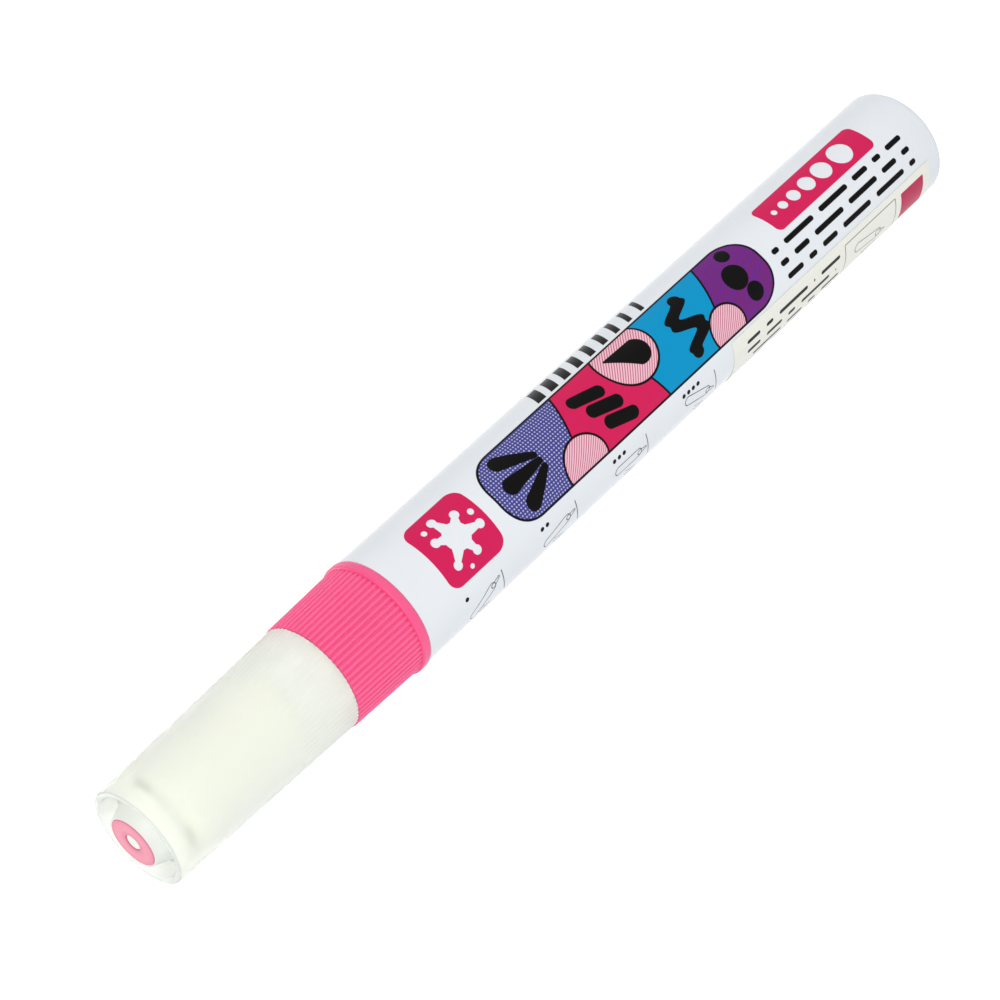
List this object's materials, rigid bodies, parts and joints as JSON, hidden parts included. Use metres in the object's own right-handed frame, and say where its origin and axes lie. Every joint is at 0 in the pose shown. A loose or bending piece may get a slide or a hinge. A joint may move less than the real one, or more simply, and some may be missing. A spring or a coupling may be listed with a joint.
{
  "type": "paint marker",
  "caption": "Valve-action paint marker: white lacquered barrel, pink ribbed collar, translucent pull-off cap with a colour ring, sprung fibre nib and a loose mixing ball.",
  "frame": {"origin": "centre of the flat tail face of the barrel, on which the marker stands", "axes": "+Z along the marker's axis from the tail towards the cap; the print faces -Y"},
  "size_m": [0.0152, 0.0152, 0.1394],
  "materials": {
    "barrel_lacquer": "white lacquer with a colour print",
    "label_film": "cream film, satin",
    "collar_pink": "pink moulded polypropylene, satin",
    "cap_translucent": "translucent natural polypropylene",
    "inner_cap_white": "whitish polyethylene",
    "ring_pink": "pink moulded plastic",
    "nose_white": "white moulded polypropylene",
    "nib_fibre": "bonded acrylic fibre wetted with pink paint",
    "valve_natural": "natural acetal",
    "valve_rubber": "black nitrile rubber",
    "spring_steel": "drawn stainless wire",
    "ball_steel": "polished steel"
  },
  "bodies": {
    "marker_body": {"barrel": "barrel_lacquer", "instruction_label": "label_film", "front_collar": "collar_pink", "barrel_seal": "valve_rubber", "valve_seat": "valve_rubber", "valve_housing": "valve_natural", "spring_retainer": "valve_natural", "valve_spring": "spring_steel", "nib_holder": "nose_white"},
    "tip": {"nib": "nib_fibre", "valve_rod": "valve_natural"},
    "cap": {"cap_shell": "cap_translucent", "inner_cap": "inner_cap_white", "cap_colour_ring": "ring_pink"},
    "ball": {"mixing_ball": "ball_steel"}
  },
  "joints": [
    {"name": "cap_pull", "type": "slide", "parent": "marker_body", "child": "cap", "axis": [0, 0, 1], "range_m": [0, 0.06]},
    {"name": "nib_press", "type": "slide", "parent": "marker_body", "child": "tip", "axis": [0, 0, 1], "range_m": [-0.0018, 0], "stiffness_N_per_m": 1100, "springref_m": 0.002, "deforming": ["valve_spring"]},
    {"name": "ball_travel", "type": "slide", "parent": "marker_body", "child": "ball", "axis": [0, 0, 1], "range_m": [0, 0.072]}
  ]
}
